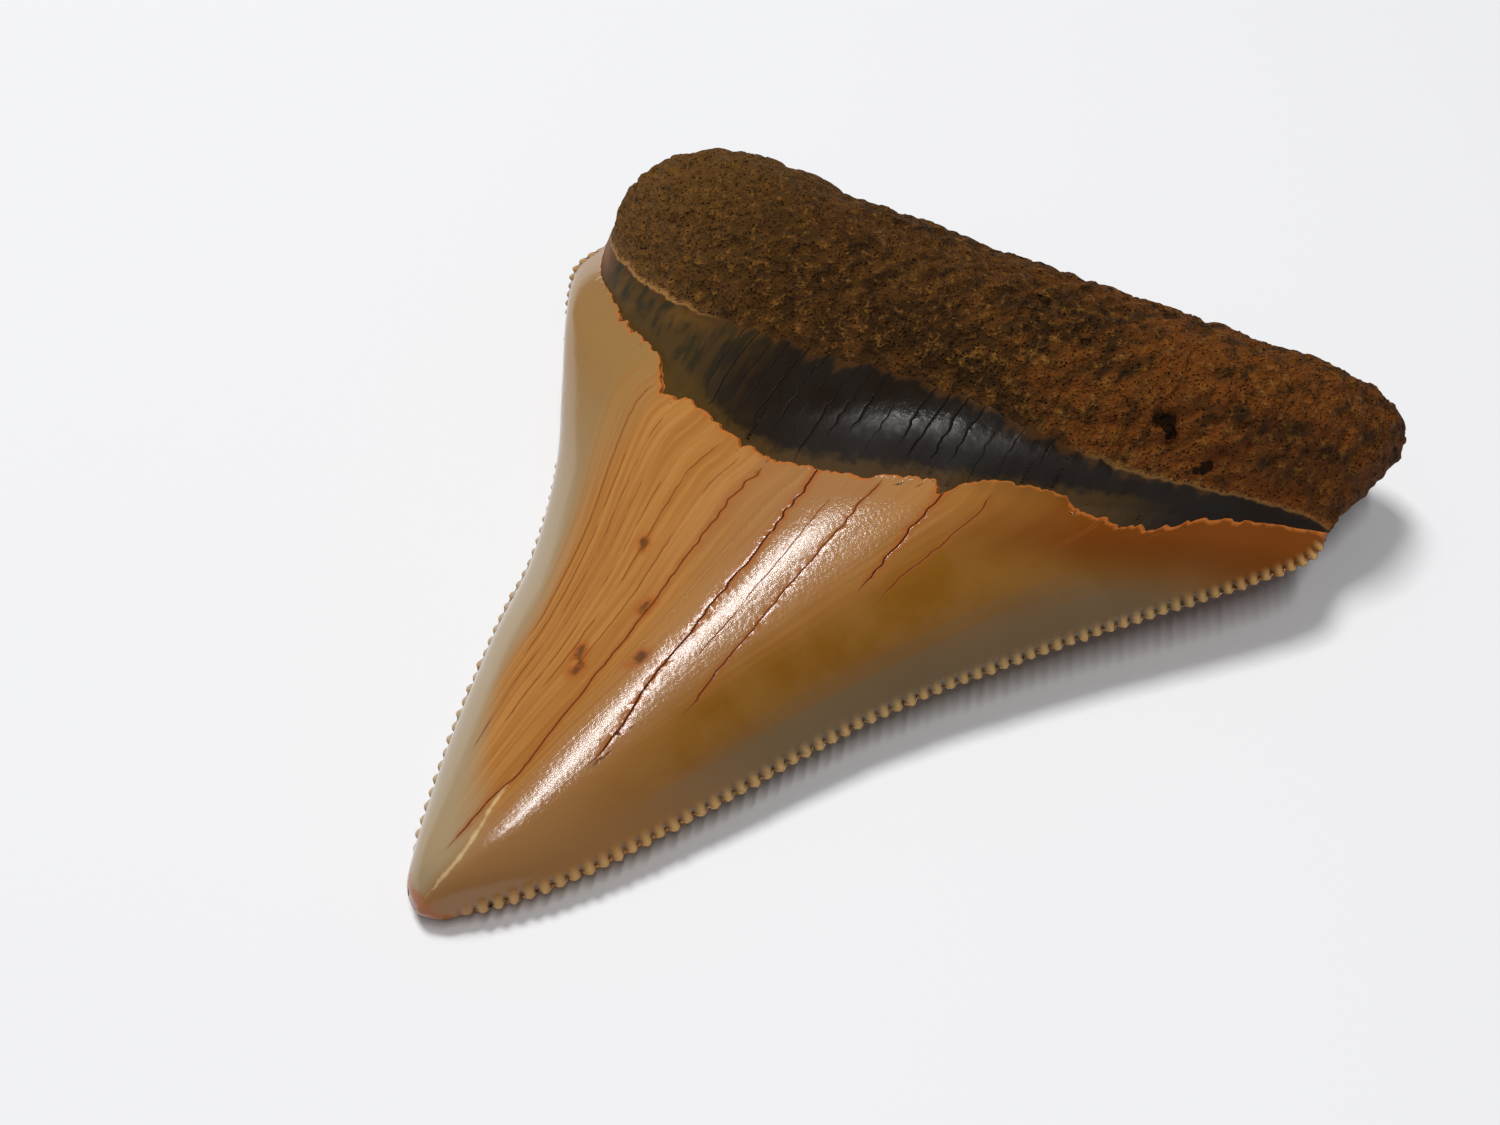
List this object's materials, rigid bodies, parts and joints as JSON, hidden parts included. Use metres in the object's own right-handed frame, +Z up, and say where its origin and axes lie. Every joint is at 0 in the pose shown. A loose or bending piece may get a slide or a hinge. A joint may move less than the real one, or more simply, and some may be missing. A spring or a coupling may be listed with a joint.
{
  "type": "megalodon tooth",
  "caption": "Fossil shark tooth in one piece: a serrated triangular crown with a glossy enamel ridge, a dark smooth band under the enamel and a rough two-lobed root.",
  "frame": {"origin": "on the table, under the middle of the tooth's outline", "axes": "+Z up out of the inner face, +Y from the tip to the root, +X across the root lobes"},
  "size_m": [0.0518, 0.0534, 0.0131],
  "materials": {
    "fossil": "golden-brown polished enamel, near-black band and rough dark-brown root"
  },
  "bodies": {
    "root": {"tooth": "fossil"}
  },
  "joints": []
}
